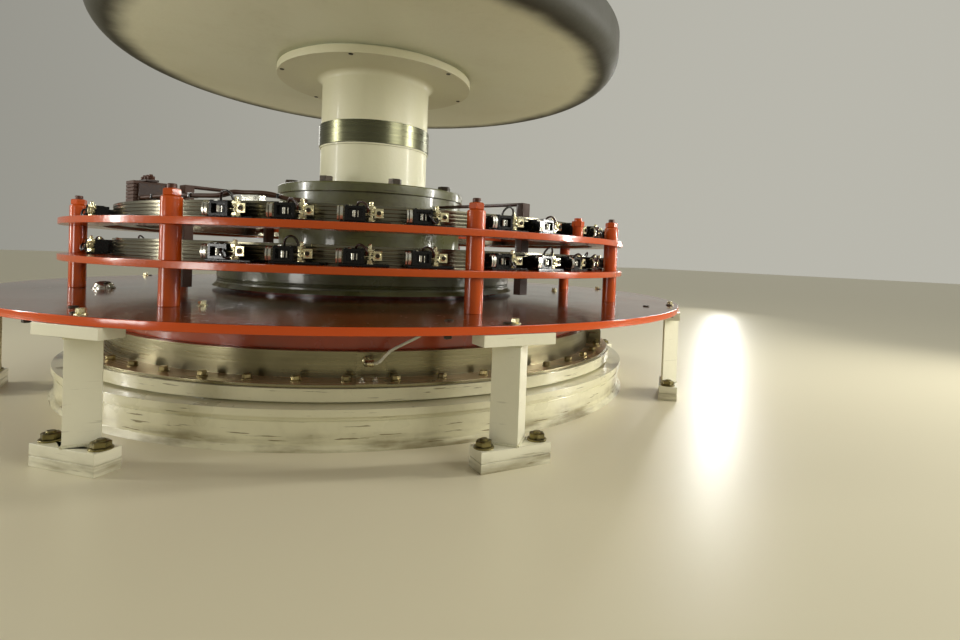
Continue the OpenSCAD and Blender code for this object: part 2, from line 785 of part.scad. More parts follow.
rotor_disc();
shaft_flange();
shaft();
shaft_band();
hub();
hub_bolts();
ring_drum();
barrel();
slip_ring_upper();
slip_ring_lower();
ring_arms_upper();
ring_arms_lower();
lead_bars();
brush_plate_upper();
brush_plate_lower();
brush_holders_upper();
brush_holders_lower();
brushes_upper();
brushes_lower();
table();
table_collar();
base_ring();
seal_ring();
steel_cover();
cover_joints();
seal_bolts();
guide_bearing();
sensor_bracket();
sensor_hose();
terminal_post();
lead_stack();
lead_strap();
for (i = [1:SECTORS]) post(i - 1);
for (i = [1:SECTORS]) leg(i - 1);
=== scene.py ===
# %% [markdown]
# # The slip ring end of a water turbine generator's rotor
# This notebook dresses a finished CAD model. The model fixes every size, and the cells below round
# its edges, give each surface its finish and add what is too small for it: bolts, clips, studs and
# cable loops. The first cell loads the model. Nothing in the model is moved or resized after that.

# %% Load the model
import json
import math

import bpy
from mathutils import Matrix, Vector


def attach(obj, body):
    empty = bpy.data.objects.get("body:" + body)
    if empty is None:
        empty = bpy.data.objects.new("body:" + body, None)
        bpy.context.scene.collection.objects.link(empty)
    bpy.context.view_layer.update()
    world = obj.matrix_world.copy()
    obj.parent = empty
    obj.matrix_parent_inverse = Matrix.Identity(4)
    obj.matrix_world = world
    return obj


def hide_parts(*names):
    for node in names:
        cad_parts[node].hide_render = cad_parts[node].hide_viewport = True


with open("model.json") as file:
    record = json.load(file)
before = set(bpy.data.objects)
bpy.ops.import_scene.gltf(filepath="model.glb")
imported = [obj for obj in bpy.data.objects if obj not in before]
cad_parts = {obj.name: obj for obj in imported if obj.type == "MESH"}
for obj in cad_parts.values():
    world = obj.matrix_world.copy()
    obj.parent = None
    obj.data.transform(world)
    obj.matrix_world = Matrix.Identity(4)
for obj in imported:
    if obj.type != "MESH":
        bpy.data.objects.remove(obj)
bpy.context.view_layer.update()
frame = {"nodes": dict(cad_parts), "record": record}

# %% [markdown]
# The camera stands low, a little to the left of the leg that faces -Y. Its place is given round
# the rotor's axis by a bearing, a distance and a height. Its lens and shift come from the
# photograph's frame, and a small roll tilts the picture, as a camera held by hand does.

# %% Camera
CAMERA_BEARING = math.radians(-15.6)
CAMERA_DISTANCE = 2.551
CAMERA_HEIGHT = 0.510
CAMERA_HEADING = math.radians(28.96)
CAMERA_PITCH = math.radians(0.90)
CAMERA_ROLL = math.radians(2.08)
CAMERA_LENS = 20.72
CAMERA_SHIFT = (-0.0232, -0.0572)

camera_data = bpy.data.cameras.new("camera")
camera_data.sensor_width = 36.0
camera_data.lens = CAMERA_LENS
camera_data.shift_x, camera_data.shift_y = CAMERA_SHIFT
camera_data.clip_start = 0.01
camera = bpy.data.objects.new("camera", camera_data)
bpy.context.scene.collection.objects.link(camera)
forward = Vector((math.sin(CAMERA_HEADING) * math.cos(CAMERA_PITCH),
                  math.cos(CAMERA_HEADING) * math.cos(CAMERA_PITCH), -math.sin(CAMERA_PITCH)))
level_right = Vector((math.cos(CAMERA_HEADING), -math.sin(CAMERA_HEADING), 0.0))
level_up = level_right.cross(forward)
image_right = level_right * math.cos(CAMERA_ROLL) + level_up * math.sin(CAMERA_ROLL)
image_up = level_up * math.cos(CAMERA_ROLL) - level_right * math.sin(CAMERA_ROLL)
camera_place = Matrix((image_right, image_up, -forward)).transposed().to_4x4()
camera_place.translation = (CAMERA_DISTANCE * math.sin(CAMERA_BEARING),
                            -CAMERA_DISTANCE * math.cos(CAMERA_BEARING), CAMERA_HEIGHT)
camera.matrix_world = camera_place
bpy.context.scene.camera = camera
print("camera at", tuple(round(x, 3) for x in camera_place.translation))

# %% [markdown]
# Most things here sit round one axis, so a place is a bearing, a radius and a height. A bearing of
# 0 faces -Y, where one of the legs stands, and it grows towards +X. At such a place, X runs along
# the ring, Y runs inwards and Z runs up. Legs and posts stand on the same eight bearings. The
# radii and heights below are the model's own, and several cells share them.

# %% Places round the axis
BEARINGS = [45 * i for i in range(8)]
LEG_RADIUS = 1.2935
POST_RADIUS = 1.057
HOLDER_RADIUS = 1.026
TABLE_UNDERSIDE = 0.325
TABLE_TOP = 0.346
LOW_PLATE = (0.448, 0.468)
HIGH_PLATE = (0.563, 0.583)
RING_TOP = 0.640
SENSOR_BEARING = -15
ELBOW_RADIUS = 1.030
ELBOW_HEIGHT = 0.209


def at(angle, radius, height, side=0.0):
    turn = math.radians(angle)
    place = Matrix.Rotation(turn, 4, "Z")
    place.translation = (radius * math.sin(turn) + side * math.cos(turn),
                         side * math.sin(turn) - radius * math.cos(turn), height)
    return place


def spot(angle, radius, height, side=0.0):
    return at(angle, radius, height, side).translation.copy()


def spun(angle):
    return Matrix.Rotation(angle, 4, "Z")


def smooth_line(points, steps):
    last = len(points) - 1
    line = []
    for i in range(last):
        a, b, c, d = (Vector(points[min(max(j, 0), last)]) for j in (i - 1, i, i + 1, i + 2))
        for k in range(steps):
            t = k / steps
            line.append((2 * b + (c - a) * t + (2 * a - 5 * b + 4 * c - d) * t ** 2
                         + (3 * b - a - 3 * c + d) * t ** 3) / 2)
    return line + [Vector(points[-1])]


def only(piece):
    bpy.ops.object.select_all(action="DESELECT")
    piece.select_set(True)
    bpy.context.view_layer.objects.active = piece


print("a leg's corner is at", tuple(round(x, 3) for x in spot(0, 1.325, 0.1)))

# %% [markdown]
# A clear hose takes the sensor's leads from a brass elbow on the bearing cover up to a gland under
# the table. It is fixed at both ends, so its route is a short climbing bow. A curve with a round
# section is the usual way to draw it, and it becomes a mesh so that its place is in its points.

# %% The sensor's hose
def tube(name, points, radius, resolution):
    bpy.ops.object.select_all(action="DESELECT")
    bpy.ops.curve.primitive_bezier_curve_add()
    piece = bpy.context.object
    piece.name = name
    line = piece.data
    line.splines.clear()
    spline = line.splines.new("POLY")
    spline.points.add(len(points) - 1)
    for knot, point in zip(spline.points, points):
        knot.co = (*point, 1.0)
    line.dimensions = "3D"
    line.bevel_depth = radius
    line.bevel_resolution = resolution
    line.use_fill_caps = True
    bpy.ops.object.convert(target="MESH")
    return bpy.context.object


HOSE_D = 0.008
GLAND_BEARING = -4.5
hose_line = smooth_line([spot(SENSOR_BEARING, ELBOW_RADIUS, ELBOW_HEIGHT, 0.0052),
                         spot(SENSOR_BEARING, ELBOW_RADIUS, 0.214, 0.021),
                         spot(-12.4, 1.034, 0.242), spot(-10.4, 1.040, 0.263),
                         spot(-8.4, 1.048, 0.283), spot(GLAND_BEARING, 1.060, 0.309, -0.036),
                         spot(GLAND_BEARING, 1.060, 0.313, -0.0122)], 4)
hose = tube("hose", hose_line, HOSE_D / 2, 5)
only(hose)
bpy.ops.object.shade_smooth()
hose_length = sum((b - a).length for a, b in zip(hose_line, hose_line[1:]))
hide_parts("sensor_hose")
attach(hose, "stand")
print("hose length in metres:", round(hose_length, 3))

# %% [markdown]
# A material's nodes are easier to read as sums. This class wraps one output of a node, so that
# 1 - mask or mask * 0.3 adds the Math nodes that it needs. Plain numbers stay in Python.

# %% A value that varies over a surface
class Field:
    def __init__(self, surface, socket):
        self.surface, self.socket = surface, socket

    def math(self, operation, first, second=0.0):
        return self.surface.node("ShaderNodeMath", {"operation": operation}, {0: first, 1: second})

    def __add__(self, other):
        return self.math("ADD", self, other)

    def __sub__(self, other):
        return self.math("SUBTRACT", self, other)

    def __rsub__(self, other):
        return self.math("SUBTRACT", other, self)

    def __mul__(self, other):
        return self.math("MULTIPLY", self, other)

    def __pow__(self, other):
        return self.math("POWER", self, other)

    __radd__ = __add__
    __rmul__ = __mul__


# %% [markdown]
# Paint colours are easiest to judge as the screen shows them, from 0 to 255, but the shader wants
# linear light. A surface is a material with its shader. Its node method adds any node: the
# settings come first, because some of them change which sockets a node has.

# %% A surface and its nodes
def screen(red, green, blue):
    return tuple((c / 255 / 12.92) if c < 11 else ((c / 255 + 0.055) / 1.055) ** 2.4
                 for c in (red, green, blue)) + (1.0,)


class Surface:
    def __init__(self, name, **constants):
        self.material = bpy.data.materials.new(name)
        self.material.use_nodes = True
        self.tree = self.material.node_tree
        self.shader = self.tree.nodes["Principled BSDF"]
        for socket, value in constants.items():
            self.shader.inputs[socket.replace("_", " ")].default_value = value

    def node(self, kind, settings=None, sockets=None, output=0):
        made = self.tree.nodes.new(kind)
        for key, value in (settings or {}).items():
            setattr(made, key, value)
        for key, value in (sockets or {}).items():
            if isinstance(value, Field):
                self.tree.links.new(value.socket, made.inputs[key])
            else:
                made.inputs[key].default_value = value
        return Field(self, made.outputs[output])

    def place(self):
        return self.node("ShaderNodeTexCoord", output="Object")

    def stretched(self, scale):
        return self.node("ShaderNodeMapping", sockets={"Vector": self.place(), "Scale": scale})

    def noise(self, scale, detail, place=None):
        return self.node("ShaderNodeTexNoise", sockets={"Vector": place or self.place(),
                                                        "Scale": scale, "Detail": detail})

    def step(self, value, low, high):
        return self.node("ShaderNodeMapRange", {"clamp": True, "interpolation_type": "SMOOTHSTEP"},
                         {"Value": value, "From Min": low, "From Max": high})

    def mix(self, mask, low, high):
        return self.node("ShaderNodeMix", {"data_type": "RGBA"}, {"Factor": mask, 6: low, 7: high},
                         output=2)

    def split(self, place):
        cut = self.tree.nodes.new("ShaderNodeSeparateXYZ")
        self.tree.links.new(place.socket, cut.inputs[0])
        return [Field(self, cut.outputs[i]) for i in range(3)]

    def upward(self):
        return self.split(self.node("ShaderNodeNewGeometry", output="Normal"))[2]

    def join(self, x, y, z):
        return self.node("ShaderNodeCombineXYZ", sockets={0: x, 1: y, 2: z})

    def feed(self, socket, value):
        self.tree.links.new(value.socket, self.shader.inputs[socket])

    def bump(self, height, distance):
        raised = self.node("ShaderNodeBump",
                           sockets={"Strength": 1.0, "Distance": distance, "Height": height})
        self.feed("Normal", raised)


print("middle grey in linear light:", round(screen(128, 128, 128)[0], 3))

# %% [markdown]
# Most of the unit is brush-painted steel. Such paint has three things that a flat colour lacks: it
# is a little lighter and darker in soft patches, its gloss changes where hands and oil have been,
# and its skin is slightly wavy. Dirt gathers at the floor, so a dirty paint darkens with low Z,
# and rags leave long level streaks. The end disc's rim is painted near black, rougher and without
# coat: painted shade for the shadow on its round shoulder. The rim shade radii say where that
# starts and where it is full.

# %% Painted steel
# Painted shade: the near black that the end disc's rim is darkened to.
RIM_SHADE_BLACK = screen(30, 28, 19)
PAINT_WAVE = 0.0006


def painted(name, colour, dirty, roughness, coat, patch=0.25, dirt_height=0.0, scuffs=0.0,
            rim_shade=None, shine=0.5):
    paint = Surface(name, Coat_Weight=coat, Coat_Roughness=0.08, Specular_IOR_Level=shine)
    patches = paint.step(paint.noise(3.0, 5.0), 0.35, 0.75)
    fine = paint.step(paint.noise(34.0, 6.0), 0.45, 0.8)
    dirt = patches * patch + fine * (patch * 0.4)
    if dirt_height:
        height = paint.split(paint.place())[2]
        ragged = height + (paint.noise(9.0, 5.0) - 0.5) * (dirt_height * 0.9)
        low = 1 - paint.step(ragged, 0.0, dirt_height)
        splashes = paint.noise(5.0, 6.0, paint.stretched((1.0, 1.0, 7.0)))
        dirt = dirt + low * paint.step(splashes, 0.3, 0.7) * 0.75
    if scuffs:
        streaks = paint.noise(9.0, 8.0, paint.stretched((1.0, 1.0, 16.0)))
        dirt = dirt + paint.step(streaks, 0.635, 0.69) * scuffs
    mask = paint.step(dirt, 0.0, 1.0)
    shade = paint.mix(mask, screen(*colour), screen(*dirty))
    rough = paint.noise(6.0, 6.0) * 0.16 + mask * 0.3 + (roughness - 0.08)
    # Painted shade: towards the rim the colour goes to near black, the paint gets rougher and it
    # loses its coat.
    if rim_shade:
        x, y = paint.split(paint.place())[:2]
        radius = (x * x + y * y) ** 0.5 + (paint.noise(7.0, 5.0) - 0.5) * 0.05
        black = paint.step(radius, *rim_shade)
        shade = paint.mix(black * 0.96, shade, RIM_SHADE_BLACK)
        rough = rough + black * 0.25
        paint.feed("Coat Weight", coat * (1 - black))
    paint.feed("Base Color", shade)
    paint.feed("Roughness", rough)
    paint.bump(paint.noise(60.0, 3.0) + fine * 0.3, PAINT_WAVE)
    return paint.material


FLOOR_DIRT = (120, 108, 66)
PAINTS = {
    "cream_paint": dict(colour=(212, 210, 172), dirty=(166, 160, 118), roughness=0.42, coat=0.12),
    "disc_paint_rim_shade": dict(colour=(222, 223, 196), dirty=(186, 182, 148), roughness=0.4, coat=0.15,
                       rim_shade=(0.90, 1.0)),
    "white_paint": dict(colour=(208, 205, 174), dirty=(172, 167, 130), roughness=0.46, coat=0.08,
                        patch=0.15),
    "cream_floor_paint": dict(colour=(224, 219, 184), dirty=FLOOR_DIRT, roughness=0.28, coat=0.5,
                              patch=0.22, dirt_height=0.07, scuffs=0.6),
    "leg_white_paint": dict(colour=(230, 226, 200), dirty=FLOOR_DIRT, roughness=0.3, coat=0.4,
                            patch=0.12, dirt_height=0.05, scuffs=0.25),
    "hub_steel": dict(colour=(88, 90, 50), dirty=(54, 44, 18), roughness=0.28, coat=0.35,
                      patch=0.6, scuffs=0.4),
    "shaft_red": dict(colour=(118, 44, 24), dirty=(60, 26, 14), roughness=0.25, coat=0.5,
                      patch=0.3),
    "dark_red_paint": dict(colour=(178, 66, 28), dirty=(104, 40, 16), roughness=0.24, coat=0.5,
                           patch=0.35),
    "lead_insulation": dict(colour=(68, 40, 22), dirty=(32, 22, 12), roughness=0.5, coat=0.1,
                            patch=0.5, shine=0.3),
    "orange_red_paint": dict(colour=(190, 76, 10), dirty=(112, 44, 8), roughness=0.2, coat=0.3,
                             patch=0.3, shine=0.35),
}
finishes = {name: painted(name, **row) for name, row in PAINTS.items()}
print("painted finishes:", len(finishes))

# %% [markdown]
# The table is varnished board, polished like furniture, so that the posts stand in their own
# reflections. Its coat is almost smooth, with a film of dust that only shows where light grazes it.
# Its edge is painted orange. A face that looks up or down is painted dark red brown instead, which
# is painted shade: the glossy top looks dark where it mirrors the dark things round it.

# %% Table varnish
varnish = Surface("table_red", Coat_Weight=0.25, Coat_Roughness=0.06, Specular_IOR_Level=0.4)
grain = varnish.step(varnish.noise(2.2, 6.0), 0.3, 0.75)
dust = varnish.step(varnish.noise(48.0, 8.0), 0.62, 0.78)
upward = varnish.upward()
# Painted shade: faces that look up or down get dark red brown in place of the edge's orange.
side = 1 - varnish.step(upward * upward, 0.1, 0.6)
top_shade_colour = varnish.mix(grain, screen(118, 56, 20), screen(84, 38, 14))
dusty_top_shade = varnish.mix(dust * 0.3, top_shade_colour, screen(110, 84, 56))
varnish.feed("Base Color", varnish.mix(side, dusty_top_shade, screen(206, 78, 12)))
varnish.feed("Roughness", dust * 0.25 + varnish.noise(5.0, 5.0) * 0.1 + 0.1)
varnish.bump(varnish.noise(26.0, 2.0), 0.0005)
finishes["table_red"] = varnish.material
print("varnish nodes:", len(varnish.tree.nodes))

# %% [markdown]
# Turned steel keeps the tool's marks as fine rings round the axis. A noise that reads the distance
# from the axis and the height, and hardly the angle, draws them on walls and flat faces alike. Oil
# darkens some of the steel in long runs. On the cover, faces that look up are painted tan and less
# metallic in patches: a painted reflection of the orange table edge above them.

# %% Turned steel
TOOL_MARKS = 130.0
MARK_DEPTH = 0.0003


def turned(name, colour, oil_colour, roughness, oil, top_reflection=None):
    steel = Surface(name, Metallic=1.0)
    bright = screen(*colour)
    dull = tuple(c * 0.72 for c in bright[:3]) + (1.0,)
    x, y, z = steel.split(steel.place())
    radius = (x * x + y * y) ** 0.5
    rings = steel.noise(1.0, 5.0, steel.join(radius * TOOL_MARKS, z * TOOL_MARKS,
                                             steel.noise(1.5, 2.0) * 1.5))
    wide = steel.noise(1.0, 3.0, steel.join(radius * 14.0, z * 40.0, x * 1.2 + y * 0.9))
    runs = steel.noise(2.6, 6.0, steel.stretched((1.0, 1.0, 4.0)))
    film = steel.step(runs, 0.62 - oil * 0.35, 0.85)
    shade = steel.mix(steel.step(wide, 0.3, 0.75), bright, dull)
    shade = steel.mix(film * min(1.0, oil + 0.25), shade, screen(*oil_colour))
    # Painted reflection: faces that look up get a tan, less metallic colour in patches, for the
    # orange table edge mirrored in them.
    if top_reflection:
        reflection_gaps = steel.step(steel.noise(7.0, 6.0), 0.5, 0.66) * 0.8
        painted_top_reflection = steel.step(steel.upward(), 0.8, 0.95) * (1 - reflection_gaps)
        shade = steel.mix(painted_top_reflection, shade, screen(*top_reflection))
        steel.feed("Metallic", 1 - painted_top_reflection * 0.85)
    steel.feed("Base Color", shade)
    steel.feed("Roughness", rings * 0.16 + wide * 0.1 + film * 0.12 + (roughness - 0.13))
    steel.bump(rings, MARK_DEPTH)
    return steel.material


OIL = (74, 56, 26)
STEELS = {
    "bare_steel": dict(colour=(110, 110, 86), oil_colour=OIL, roughness=0.28, oil=0.1),
    "slip_ring_steel": dict(colour=(128, 124, 106), oil_colour=(58, 52, 34), roughness=0.2,
                            oil=0.55),
    "brushed_cover_steel": dict(colour=(150, 143, 114), oil_colour=(52, 40, 20), roughness=0.28,
                                oil=0.45, top_reflection=(188, 158, 114)),
    "bearing_bronze": dict(colour=(190, 156, 92), oil_colour=OIL, roughness=0.35, oil=0.3),
}
finishes.update({name: turned(name, **row) for name, row in STEELS.items()})
print("finishes so far:", len(finishes))

# %% [markdown]
# Small fittings are plated or moulded. A plated bolt has worn or dirty patches. Black mouldings are
# slightly rough and catch dust. One recipe with few settings serves them all.

# %% Small fittings
def fitting(name, colour, worn, roughness, metallic, wear=0.5, fineness=90.0, coat=0.0, shine=0.5):
    part = Surface(name, Metallic=metallic, Coat_Weight=coat, Coat_Roughness=0.1,
                   Specular_IOR_Level=shine)
    patches = part.step(part.noise(fineness, 6.0), 0.6 - wear * 0.2, 0.8)
    part.feed("Base Color", part.mix(patches, screen(*colour), screen(*worn)))
    part.feed("Roughness",
              part.noise(fineness * 1.7, 4.0) * 0.2 + patches * 0.12 + (roughness - 0.1))
    part.bump(part.noise(fineness * 3.0, 3.0), 0.0002)
    return part.material


FITTINGS = {
    "zinc_bolts": dict(colour=(196, 182, 132), worn=(54, 44, 22), roughness=0.34, metallic=0.85,
                       wear=0.9, fineness=13.0),
    "old_zinc": dict(colour=(132, 122, 78), worn=(44, 38, 20), roughness=0.3, metallic=0.8,
                     wear=0.9, fineness=45.0),
    "bright_steel": dict(colour=(214, 212, 200), worn=(150, 144, 120), roughness=0.24,
                         metallic=0.95),
    "brass": dict(colour=(230, 222, 182), worn=(156, 138, 88), roughness=0.26, metallic=0.9),
    "dark_bolts": dict(colour=(56, 48, 36), worn=(24, 22, 18), roughness=0.42, metallic=0.6),
    "rod_brown": dict(colour=(74, 40, 24), worn=(30, 20, 14), roughness=0.4, metallic=0.3),
    "holder_black": dict(colour=(12, 12, 11), worn=(24, 23, 20), roughness=0.26, metallic=0.0,
                         coat=0.2, shine=0.25),
    "carbon": dict(colour=(34, 34, 34), worn=(70, 68, 64), roughness=0.5, metallic=0.2),
    "cable_black": dict(colour=(16, 15, 14), worn=(46, 42, 36), roughness=0.26, metallic=0.0,
                        wear=0.2, coat=0.5),
    "cable_brown": dict(colour=(48, 20, 12), worn=(28, 14, 8), roughness=0.28, metallic=0.0,
                        wear=0.2, coat=0.5),
    "clear_hose": dict(colour=(226, 224, 206), worn=(190, 184, 150), roughness=0.2, metallic=0.0,
                       wear=0.3),
    "weld": dict(colour=(216, 212, 180), worn=(166, 158, 116), roughness=0.26, metallic=0.0,
                 fineness=240.0),
    "sooty": dict(colour=(46, 26, 14), worn=(80, 52, 28), roughness=0.55, metallic=0.0),
}
finishes.update({name: fitting(name, **row) for name, row in FITTINGS.items()})
print("all finishes:", len(finishes))

# %% [markdown]
# The model's record names a finish for each node and the body that each node rides on. Every node
# gets its finish here, and so does the hose.

# %% Painting the nodes
slot_of = {row["node"]: row["material_slot"] for row in frame["record"]["subparts"]}
body_of = {node: body for body, nodes in frame["record"]["behaviour"]["bodies"].items()
           for node in nodes}
for node, piece in frame["nodes"].items():
    piece.data.materials.clear()
    piece.data.materials.append(finishes[slot_of[node]])
hose.data.materials.append(finishes["clear_hose"])
print("nodes painted:", len(frame["nodes"]))

# %% [markdown]
# The CAD model's edges are perfectly sharp, which no real edge is. A copy of a node gets its
# doubled points merged, its flat faces joined, a small bevel along each sharp edge and smooth
# shading. The copy then stands for the node. Smooth shading alone would bend a flat face's light
# towards its bevels, and a varnished table shows that as wavy reflections, so the Weighted Normal
# modifier lets large faces decide. Only the end disc has a finish of its own beside its slot's.

# %% Rounding a node's edges
EDGE_ANGLE = 32
# The end disc's own finish carries its painted rim shade.
OWN_FINISH = {"rotor_disc": "disc_paint_rim_shade"}


def shade_evenly(piece, angle):
    bpy.ops.object.shade_smooth_by_angle(angle=math.radians(angle))
    flat = piece.modifiers.new("flat faces", "WEIGHTED_NORMAL")
    flat.keep_sharp = True
    bpy.ops.object.modifier_apply(modifier=flat.name)


def rounded(node, width):
    source = frame["nodes"][node]
    piece = source.copy()
    piece.data = source.data.copy()
    piece.name = node + "_dressed"
    bpy.context.scene.collection.objects.link(piece)
    piece.parent = None
    piece.matrix_world = Matrix()
    only(piece)
    bpy.ops.object.mode_set(mode="EDIT")
    bpy.ops.mesh.select_all(action="SELECT")
    bpy.ops.mesh.remove_doubles(threshold=0.00001)
    bpy.ops.mesh.dissolve_limited(angle_limit=math.radians(0.2))
    bpy.ops.object.mode_set(mode="OBJECT")
    bevel = piece.modifiers.new("edges", "BEVEL")
    bevel.width, bevel.segments = width, 2
    bevel.limit_method, bevel.angle_limit = "ANGLE", math.radians(EDGE_ANGLE)
    bpy.ops.object.modifier_apply(modifier=bevel.name)
    shade_evenly(piece, EDGE_ANGLE)
    piece.data.materials.clear()
    piece.data.materials.append(finishes[OWN_FINISH.get(node, slot_of[node])])
    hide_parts(node)
    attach(piece, body_of[node])
    return piece


EDGES = {
    "rotor_disc": 0.003, "shaft_flange": 0.0025, "shaft": 0.001, "shaft_band": 0.0012,
    "hub": 0.002, "ring_drum": 0.0015, "slip_ring_upper": 0.0008, "slip_ring_lower": 0.0008,
    "ring_arms_upper": 0.0015, "ring_arms_lower": 0.0015, "lead_bars": 0.002,
    "brush_plate_upper": 0.0018, "brush_plate_lower": 0.0018, "table": 0.0025,
    "table_collar": 0.0015, "base_ring": 0.0012, "seal_ring": 0.0015, "steel_cover": 0.0015,
    "lead_stack": 0.0006, "hub_bolts": 0.001, "terminal_post": 0.002, "sensor_bracket": 0.0008,
    "cover_joints": 0.0015,
}
EDGES.update({"leg_%d" % i: 0.0012 for i in range(1, 9)})
dressed = [rounded(node, width) for node, width in EDGES.items()]
print("nodes with rounded edges:", len(dressed))

# %% [markdown]
# New pieces start from a primitive and are shaped in edit mode. Three starts cover most of them. A
# block is a cube pulled to its size with its edges bevelled. A turned piece is one point, extruded
# along half of the outline and spun round Z; six steps instead of many give a hexagon. A bent
# strip is a point extruded along a path, then sideways, and Solidify gives it thickness.

# %% Three ways to start a piece
def block(low, high, bevel=0.0, segments=2):
    bpy.ops.object.select_all(action="DESELECT")
    middle = [(a + b) / 2 for a, b in zip(low, high)]
    size = [b - a for a, b in zip(low, high)]
    bpy.ops.mesh.primitive_cube_add(size=1.0, location=middle, scale=size)
    bpy.ops.object.transform_apply(location=True, rotation=True, scale=True)
    if bevel:
        bpy.ops.object.mode_set(mode="EDIT")
        bpy.ops.mesh.select_all(action="SELECT")
        bpy.ops.mesh.bevel(offset=bevel, segments=segments, affect="EDGES")
        bpy.ops.object.mode_set(mode="OBJECT")
    return bpy.context.object


def point_at(start):
    bpy.ops.object.select_all(action="DESELECT")
    bpy.ops.mesh.primitive_plane_add(size=0.001)
    bpy.ops.object.mode_set(mode="EDIT")
    bpy.ops.mesh.select_mode(type="VERT")
    bpy.ops.mesh.select_all(action="SELECT")
    bpy.ops.mesh.merge(type="CENTER")
    bpy.ops.transform.translate(value=start)


def extrude(x, y, z):
    bpy.ops.mesh.extrude_region_move(TRANSFORM_OT_translate={"value": (x, y, z)})


def pick_faces(piece, wanted):
    bpy.ops.object.mode_set(mode="EDIT")
    bpy.ops.mesh.select_mode(type="FACE")
    bpy.ops.mesh.select_all(action="DESELECT")
    bpy.ops.object.mode_set(mode="OBJECT")
    for face in piece.data.polygons:
        face.select = bool(wanted(face))
    bpy.ops.object.mode_set(mode="EDIT")


def turned_piece(outline, steps):
    point_at((outline[0][0], 0, outline[0][1]))
    for (r0, z0), (r1, z1) in zip(outline, outline[1:]):
        extrude(r1 - r0, 0, z1 - z0)
    bpy.ops.mesh.select_all(action="SELECT")
    bpy.ops.mesh.spin(steps=steps, angle=2 * math.pi, center=(0, 0, 0), axis=(0, 0, 1))
    bpy.ops.mesh.select_all(action="SELECT")
    bpy.ops.mesh.remove_doubles(threshold=0.000001)
    bpy.ops.mesh.normals_make_consistent(inside=False)
    bpy.ops.object.mode_set(mode="OBJECT")
    return bpy.context.object


def bent_strip(path, left, right, thickness):
    point_at((left, *path[0]))
    for (y0, z0), (y1, z1) in zip(path, path[1:]):
        extrude(0, y1 - y0, z1 - z0)
    bpy.ops.mesh.select_all(action="SELECT")
    extrude(right - left, 0, 0)
    bpy.ops.object.mode_set(mode="OBJECT")
    piece = bpy.context.object
    wall = piece.modifiers.new("thickness", "SOLIDIFY")
    wall.thickness, wall.offset = thickness, 0.0
    bpy.ops.object.modifier_apply(modifier=wall.name)
    return piece


# %% [markdown]
# A finished piece needs a name, one mesh, outward faces, smooth shading between its sharp edges, a
# finish, and a body to ride on. A pattern is modelled once at the origin, and each place gets its
# own copy of it.

# %% Finishing and copying
def joined(pieces):
    only(pieces[0])
    for piece in pieces[1:]:
        piece.select_set(True)
    if len(pieces) > 1:
        bpy.ops.object.join()
    return bpy.context.object


def moved(piece, place):
    piece.data.transform(place)
    return piece


def copies(pattern, places):
    made = []
    for place in places:
        twin = bpy.data.objects.new(pattern.name, pattern.data.copy())
        bpy.context.scene.collection.objects.link(twin)
        made.append(moved(twin, place))
    bpy.data.objects.remove(pattern)
    return made


def finished(name, pieces, finish, body, nodes=(), angle=35):
    piece = joined(pieces)
    piece.name = piece.data.name = name
    bpy.ops.object.mode_set(mode="EDIT")
    bpy.ops.mesh.select_all(action="SELECT")
    bpy.ops.mesh.normals_make_consistent(inside=False)
    bpy.ops.object.mode_set(mode="OBJECT")
    shade_evenly(piece, angle)
    piece.data.materials.clear()
    piece.data.materials.append(finishes[finish])
    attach(piece, body)
    if nodes:
        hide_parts(*nodes)
    print(name, "faces:", len(piece.data.polygons))
    return piece


# %% [markdown]
# A hexagon bolt head or nut has its corners cut by a turned cone, and it stands on a round washer.
# Spinning the outline in six steps draws the hexagon, and the outline's slanted last step is the
# cone. A stud's end may stand out of the nut.

# %% A nut on a washer
def nut(across, height, washer=0.0, stud=0.0):
    corner = across / math.sqrt(3)
    cut = height * 0.14
    base = 0.12 * across if washer else 0.0
    parts = [turned_piece([(0, base), (corner - cut, base), (corner, base + cut),
                           (corner, base + height - cut), (corner - 1.6 * cut, base + height),
                           (0, base + height)], 6)]
    if washer:
        parts.append(turned_piece([(0, 0), (washer, 0), (washer, base * 0.7),
                                   (washer - base * 0.3, base), (0, base)], 24))
    if stud:
        top = base + height + stud
        radius = across * 0.31
        parts.append(turned_piece([(0, base), (radius, base), (radius, top - radius * 0.25),
                                   (radius * 0.75, top), (0, top)], 16))
    return joined(parts)


# %% [markdown]
# The table stands on eight legs. Each foot is held by two stud bolts with heavy nuts, yellow with
# old zinc and grease. The same nut, smaller, holds the seal's flange forty-eight times, and a
# bright bolt with a dark slotted screw beside it holds the table to each leg's top block. A few
# more bolts and screws stand on the table and under its edge.

# %% Bolts
FOOT_TOP = 0.052
FOOT_BOLT_SIDE = 0.075
SEAL_NUTS = 48
foot_places = [at(a, LEG_RADIUS, FOOT_TOP, side) @ spun(0.4 * i + side)
               for i, a in enumerate(BEARINGS) for side in (-FOOT_BOLT_SIDE, FOOT_BOLT_SIDE)]
finished("foot_nuts", copies(nut(0.036, 0.014, washer=0.025, stud=0.004), foot_places),
         "old_zinc", "stand")

seal_places = [at((i + 0.5) * 360 / SEAL_NUTS, 1.0095, 0.157) @ spun(0.7 * i)
               for i in range(SEAL_NUTS)]
finished("seal_nuts", copies(nut(0.022, 0.0125, washer=0.0145), seal_places),
         "zinc_bolts", "stand", ["seal_bolts"])

table_places = ([at(a + 0.1, 1.290, TABLE_TOP) for a in BEARINGS]
                + [at(79.7, 0.901, TABLE_TOP), at(-42, 1.0, TABLE_TOP)])
finished("table_bolts", copies(nut(0.019, 0.012, washer=0.014), table_places),
         "brass", "stand")


